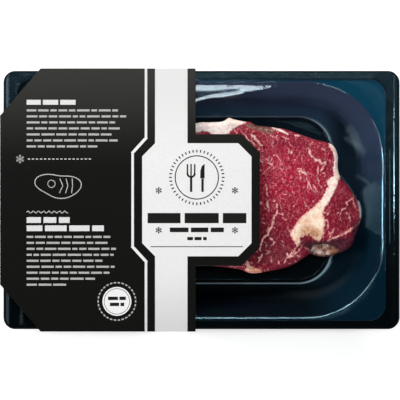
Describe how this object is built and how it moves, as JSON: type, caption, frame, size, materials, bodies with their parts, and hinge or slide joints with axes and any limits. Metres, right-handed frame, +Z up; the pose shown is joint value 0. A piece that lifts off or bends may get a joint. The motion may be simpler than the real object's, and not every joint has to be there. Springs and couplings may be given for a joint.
{
  "type": "meat tray pack",
  "caption": "Raw steak skin packed on a shallow dark plastic tray under clear film, with a printed card sleeve and label flap round one half",
  "frame": {"origin": "centre of the pack's footprint, on the surface that it rests on", "axes": "+X along the tray from the sleeve to the open half, +Y across the tray to the top edge of the print, +Z up out of the tray"},
  "size_m": [0.2518, 0.1658, 0.0261],
  "materials": {
    "tray_plastic": "glossy thermoformed sheet, dark petrol blue",
    "raw_meat": "moist raw beef, dark red with cream fat",
    "clear_film": "clear glossy skin film",
    "printed_card": "satin printed paperboard, black with a white stripe and label"
  },
  "bodies": {
    "root": {"tray": "tray_plastic", "steak": "raw_meat", "skin_film": "clear_film", "card_sleeve": "printed_card"}
  },
  "joints": []
}
